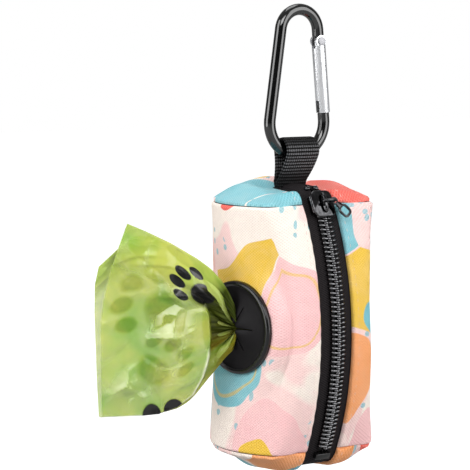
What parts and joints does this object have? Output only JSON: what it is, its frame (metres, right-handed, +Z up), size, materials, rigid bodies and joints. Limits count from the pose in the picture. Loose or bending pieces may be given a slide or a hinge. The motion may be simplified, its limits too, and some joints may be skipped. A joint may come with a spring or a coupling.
{
  "type": "dog poop bag dispenser",
  "caption": "Hanging fabric pouch with snap hook, curved zip and round slit port that feeds small bags from a roll inside.",
  "frame": {"origin": "bearing point inside the top bow of the snap hook, where the object hangs", "axes": "+Z up, zip faces -Y, snap hook lies in the XZ plane with its gate on +X, bag port faces -X"},
  "size_m": [0.099, 0.0563, 0.1598],
  "materials": {
    "black_bar": "gloss",
    "bright_gate": "polished",
    "bright_steel": "satin",
    "webbing": "ribbed weave",
    "thread": "matte",
    "print_fabric": "printed mesh weave",
    "lining": "plain weave",
    "binding": "matte",
    "zip_tape": "herringbone weave",
    "zip_coil": "gloss",
    "zip_metal": "gloss",
    "port_plastic": "satin",
    "port_rubber": "matte",
    "core_card": "kraft card",
    "bag_film": "thin translucent film"
  },
  "bodies": {
    "hook": {"hook_frame": "black_bar", "gate_rivet": "bright_steel"},
    "gate": {"hook_gate": "bright_gate", "gate_plunger": "bright_steel", "gate_spring": "bright_steel"},
    "pouch": {"webbing_loop": "webbing", "webbing_stitches": "thread", "wall_panel": "print_fabric", "top_panel": "print_fabric", "bottom_panel": "print_fabric", "wall_lining": "lining", "top_lining": "lining", "bottom_lining": "lining", "top_seam_binding": "binding", "bottom_seam_binding": "binding", "zip_tape_left": "zip_tape", "zip_tape_right": "zip_tape", "zip_coil_left": "zip_coil", "zip_coil_right": "zip_coil", "zip_top_stops": "zip_metal", "zip_bottom_stop": "zip_metal", "port_bezel": "port_plastic", "port_membrane": "port_rubber", "port_back_ring": "port_plastic"},
    "slider": {"slider_body": "zip_metal"},
    "link": {"pull_link": "zip_metal"},
    "pull": {"slider_pull": "zip_metal"},
    "roll": {"roll_core": "core_card", "roll_film": "bag_film"},
    "tail": {"bag_tail": "bag_film"}
  },
  "joints": [
    {"name": "gate_swing", "type": "hinge", "parent": "hook", "child": "gate", "pos_m": [0.00768, 0, -0.00883], "axis": [0, 1, 0], "range_deg": [0, 28], "stiffness_Nm_per_rad": 0.03, "springref_deg": -17.19},
    {"name": "pouch_swing", "type": "hinge", "parent": "hook", "child": "pouch", "pos_m": [-0.001, 0, -0.0461], "axis": [1, 0, 0], "range_deg": [-90, 90]},
    {"name": "slider_travel", "type": "hinge", "parent": "pouch", "child": "slider", "pos_m": [-0.00483, 0.06988, -0.1077], "axis": [0.9997, 0.0262, 0], "range_deg": [0, 48]},
    {"name": "link_flop", "type": "hinge", "parent": "slider", "child": "link", "pos_m": [-0.00247, -0.02021, -0.06188], "axis": [0.0119, -0.4531, -0.8914], "range_deg": [0, 180]},
    {"name": "pull_swing", "type": "hinge", "parent": "link", "child": "pull", "pos_m": [0.00103, -0.02012, -0.06188], "axis": [0.0233, -0.8911, 0.4532], "range_deg": [-55, 115]},
    {"name": "bag_pull", "type": "slide", "parent": "pouch", "child": "tail", "axis": [-0.9298, 0.3681, 0], "range_m": [0, 0.02]},
    {"name": "roll_spin", "type": "hinge", "parent": "pouch", "child": "roll", "pos_m": [-0.003, 0, -0.1047], "axis": [0, 0, 1], "range_deg": [-73, 0]}
  ],
  "couplings": [
    {"joint": "roll_spin", "follows": "bag_pull", "rad_per_m": -62.9}
  ]
}
